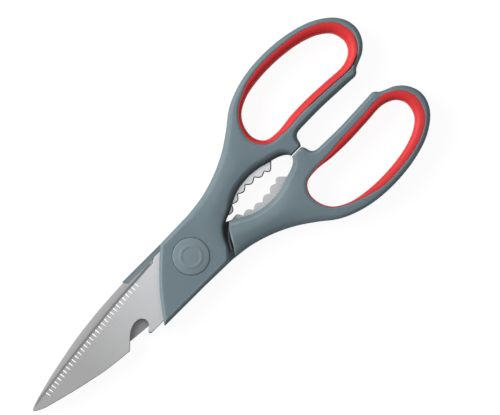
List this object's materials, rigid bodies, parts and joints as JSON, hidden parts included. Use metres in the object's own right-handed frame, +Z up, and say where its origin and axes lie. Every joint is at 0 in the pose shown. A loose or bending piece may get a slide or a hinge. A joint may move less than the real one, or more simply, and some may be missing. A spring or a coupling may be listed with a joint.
{
  "type": "kitchen shears",
  "caption": "Kitchen shears lying flat and closed: steel blades on a pivot, grey handles with soft red finger loops, a toothed nutcracker eye and a bottle-opener notch.",
  "frame": {"origin": "on the pivot axis, in the plane of the underside that the shears lie on", "axes": "+X from the pivot along the handles (blade tips at -X), +Y towards the front half's finger loop, +Z up, out of the front face"},
  "size_m": [0.2168, 0.0802, 0.012],
  "materials": {
    "blade_steel": "satin bead-blasted steel",
    "grey_plastic": "matte slate-grey moulding",
    "red_rubber": "satin soft-touch elastomer",
    "plated_steel": "bright plated",
    "nylon": "natural nylon"
  },
  "bodies": {
    "rear_half": {"rear_blade": "blade_steel", "rear_handle": "grey_plastic", "rear_grip_liner": "red_rubber", "rear_pivot_cap": "grey_plastic", "thrust_washer": "nylon"},
    "front_half": {"front_blade": "blade_steel", "front_handle": "grey_plastic", "front_grip_liner": "red_rubber", "front_pivot_cap": "grey_plastic", "pivot_stud": "plated_steel", "pivot_nut": "plated_steel", "head_washer": "plated_steel", "spring_washer": "plated_steel"}
  },
  "joints": [
    {"name": "pivot", "type": "hinge", "parent": "rear_half", "child": "front_half", "pos_m": [0, 0, 0.006], "axis": [0, 0, 1], "range_deg": [-0.2, 60]}
  ]
}
